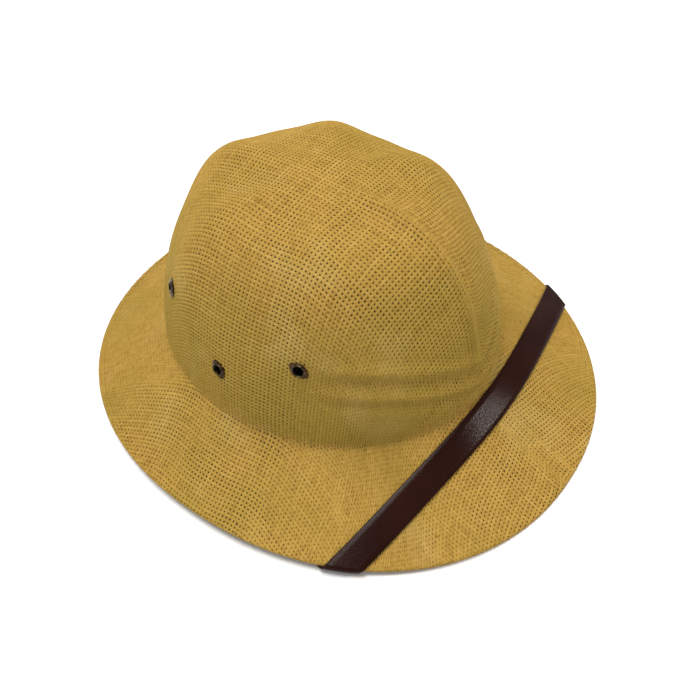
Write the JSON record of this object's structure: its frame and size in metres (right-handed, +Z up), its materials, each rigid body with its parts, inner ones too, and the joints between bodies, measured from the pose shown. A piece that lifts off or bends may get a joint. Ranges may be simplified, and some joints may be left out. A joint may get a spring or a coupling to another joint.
{
  "type": "pith helmet",
  "caption": "Woven straw pith helmet with a ridged crown, a sloping oval brim, brass vent eyelets and a leather chin strap across the front of the brim.",
  "frame": {"origin": "the middle of the brim's outline, on the plane that the brim rests on", "axes": "+Z up through the crown, -Y towards the wearer's front, -X towards the wearer's right"},
  "size_m": [0.2916, 0.3297, 0.1471],
  "materials": {
    "straw": "open weave of twisted golden-tan paper straw, lightly sized",
    "strap_leather": "smooth dark brown with a fine grain and a soft gloss",
    "eyelet_brass": "dark antique brass, worn light at the rolled lip"
  },
  "bodies": {
    "root": {"straw_body": "straw", "chin_strap": "strap_leather", "eyelet_right_front": "eyelet_brass", "eyelet_right_middle": "eyelet_brass", "eyelet_right_back": "eyelet_brass", "eyelet_left_front": "eyelet_brass", "eyelet_left_middle": "eyelet_brass", "eyelet_left_back": "eyelet_brass"}
  },
  "joints": []
}
